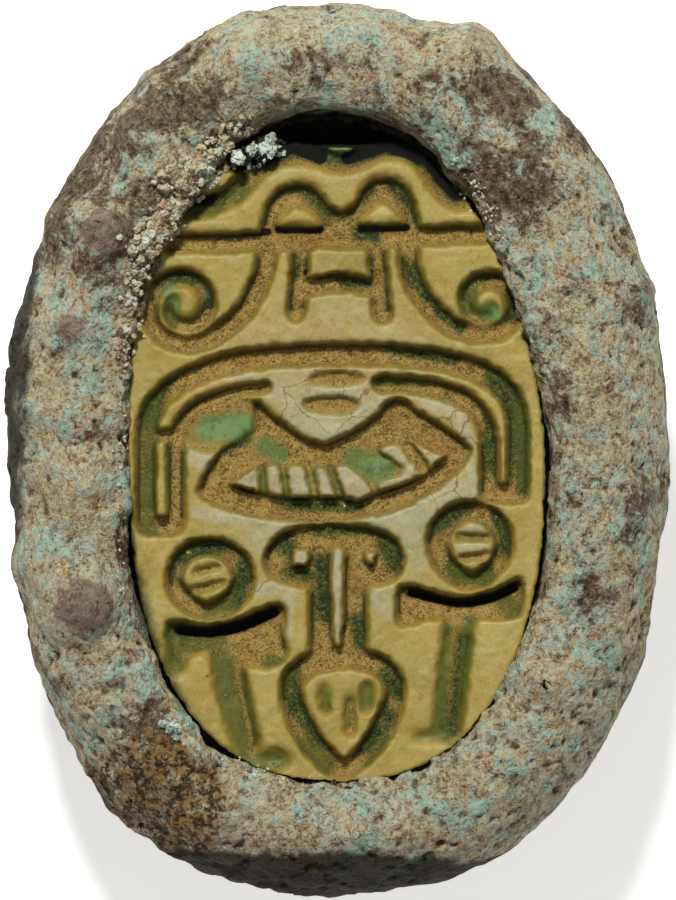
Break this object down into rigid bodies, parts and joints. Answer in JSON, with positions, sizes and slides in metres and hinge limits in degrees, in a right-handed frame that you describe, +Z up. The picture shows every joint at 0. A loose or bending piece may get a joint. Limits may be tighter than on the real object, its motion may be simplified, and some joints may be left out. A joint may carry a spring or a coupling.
{
  "type": "scarab seal",
  "caption": "Oval scarab seal of glazed stone in a thick corroded metal mount, lying on its back with the carved sealing face up.",
  "frame": {"origin": "centre of the bounding box in plan, on the surface that the seal lies on", "axes": "+Z up out of the carved face, +Y towards the head of the carved design, +X to its right"},
  "size_m": [0.0186, 0.025, 0.0092],
  "materials": {
    "glazed_stone": "worn glaze, stained and dirty in the grooves",
    "corroded_metal": "crusted and pitted all over"
  },
  "bodies": {
    "root": {"scarab": "glazed_stone", "mount": "corroded_metal"}
  },
  "joints": []
}
